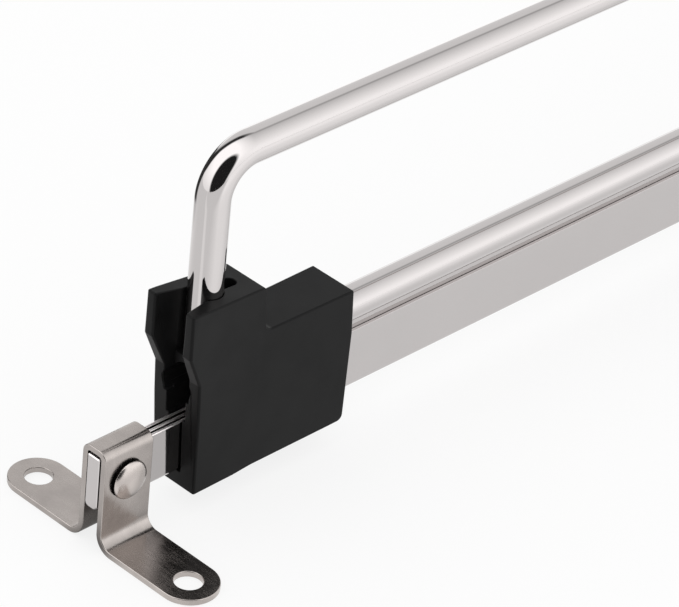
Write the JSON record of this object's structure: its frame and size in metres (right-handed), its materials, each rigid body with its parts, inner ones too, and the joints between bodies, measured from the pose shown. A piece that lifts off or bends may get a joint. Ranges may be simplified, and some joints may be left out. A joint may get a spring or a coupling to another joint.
{
  "type": "pull-out closet valet rod",
  "caption": "Pull-out closet valet rod: a fixed keyhole-section rail in saddle brackets, and a bent hanging rod that slides out on a black slider and an inner bar.",
  "frame": {"origin": "middle of the foot-hole pattern, in the plane of the feet's undersides", "axes": "+X along the rail towards the pull-out end, +Z from the mounting surface towards the hanging rod, +Y across the rail"},
  "size_m": [0.3789, 0.0626, 0.091],
  "materials": {
    "rail_nickel": "bright nickel plate",
    "rod_nickel": "polished nickel plate",
    "bracket_nickel": "dull nickel plate over pressed sheet",
    "rivet_nickel": "nickel plate",
    "black_plastic": "satin moulded",
    "white_nylon": "moulded",
    "bar_steel": "drawn bright bar",
    "plain_steel": "plain",
    "buffer_rubber": "matt"
  },
  "bodies": {
    "fixed_rail": {"rail": "rail_nickel", "rear_bracket": "bracket_nickel", "front_bracket": "bracket_nickel", "rear_rivet": "rivet_nickel", "front_rivet": "rivet_nickel", "mouth_bush": "white_nylon"},
    "pull_out": {"hanging_rod": "rod_nickel", "rear_slider": "black_plastic", "rear_rod_pin": "plain_steel", "front_grip": "black_plastic", "front_rod_pin": "plain_steel", "grip_bar_pin": "plain_steel", "slide_bar": "bar_steel", "end_bush": "white_nylon", "end_bush_washer": "plain_steel", "end_bush_screw": "plain_steel", "closing_buffer": "buffer_rubber"}
  },
  "joints": [
    {"name": "pull_out_slide", "type": "slide", "parent": "fixed_rail", "child": "pull_out", "axis": [1, 0, 0], "range_m": [0, 0.25]}
  ]
}
